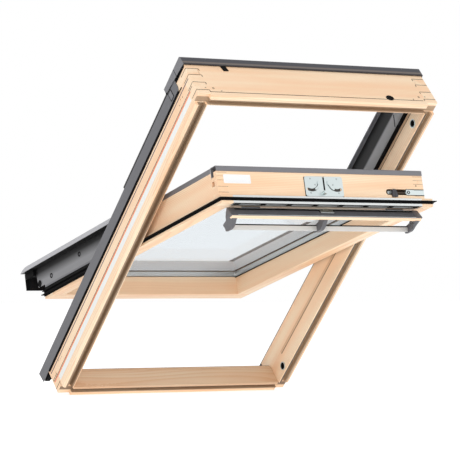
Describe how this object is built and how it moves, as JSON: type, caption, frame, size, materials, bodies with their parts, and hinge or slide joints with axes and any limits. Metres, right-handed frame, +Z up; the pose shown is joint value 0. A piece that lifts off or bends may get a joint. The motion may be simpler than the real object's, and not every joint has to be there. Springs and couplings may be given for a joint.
{
  "type": "centre pivot roof window",
  "caption": "Pine centre pivot roof window with grey metal covers, double glazing, a ventilation flap with a control bar, a lock plate and a barrel bolt, tilted open.",
  "frame": {"origin": "middle of the sill's flat outer face, half way through its depth", "axes": "+X to the right seen from the room, +Y level towards the outside, +Z up; the window leans back 45 degrees as in its roof"},
  "size_m": [0.788, 1.1976, 0.9431],
  "materials": {
    "pine": "clear lacquer",
    "grey_aluminium": "powder coated",
    "foam": "closed cell foam",
    "rubber": "matt",
    "black_plastic": "moulded",
    "grey_plastic": "moulded",
    "zinc_steel": "zinc plated",
    "bare_aluminium": "anodised",
    "glass": "clear",
    "white_plastic": "satin"
  },
  "bodies": {
    "frame": {"frame_left_jamb": "pine", "frame_right_jamb": "pine", "frame_head": "pine", "frame_sill": "pine", "frame_bolt_bushings": "zinc_steel", "frame_insulation_strips": "foam", "frame_right_side_cover": "grey_aluminium", "frame_left_side_cover": "grey_aluminium", "frame_cover_end_plugs": "black_plastic", "frame_right_upper_profile": "grey_aluminium", "frame_left_upper_profile": "grey_aluminium", "frame_gasket": "rubber", "frame_top_casing": "grey_aluminium", "frame_sill_flashing": "grey_aluminium", "frame_right_pivot_bracket": "zinc_steel", "frame_left_pivot_bracket": "zinc_steel", "frame_head_striker": "zinc_steel"},
    "sash": {"sash_left_stile": "pine", "sash_right_stile": "pine", "sash_top_rail": "pine", "sash_bottom_rail": "pine", "sash_inner_pane": "glass", "sash_outer_pane": "glass", "sash_glass_spacer": "bare_aluminium", "sash_right_upper_cover": "grey_aluminium", "sash_left_upper_cover": "grey_aluminium", "sash_top_cover": "grey_aluminium", "sash_right_lower_cover": "grey_aluminium", "sash_left_lower_cover": "grey_aluminium", "sash_bottom_cover": "grey_aluminium", "sash_bottom_end_caps": "black_plastic", "sash_gasket": "rubber", "sash_vent_profile": "bare_aluminium", "sash_lock_plate": "zinc_steel", "sash_lock_hooks": "zinc_steel", "sash_right_pivot": "zinc_steel", "sash_left_pivot": "zinc_steel", "sash_bolt_guide": "zinc_steel", "sash_type_plate": "white_plastic"},
    "vent_flap": {"flap_shell": "grey_plastic", "flap_board": "pine", "control_bar": "bare_aluminium", "flap_brackets": "grey_plastic", "flap_link": "zinc_steel"},
    "bolt": {"barrel_bolt": "zinc_steel"}
  },
  "joints": [
    {"name": "sash_pivot", "type": "hinge", "parent": "frame", "child": "sash", "pos_m": [0, -0.34468, 0.48829], "axis": [1, 0, 0], "range_deg": [-31, 129]},
    {"name": "flap_hinge", "type": "hinge", "parent": "sash", "child": "vent_flap", "pos_m": [0, -0.86335, 0.50785], "axis": [1, 0, 0], "range_deg": [-46, 0]},
    {"name": "bolt_slide", "type": "slide", "parent": "sash", "child": "bolt", "axis": [1, 0, 0], "range_m": [0, 0.028]}
  ]
}
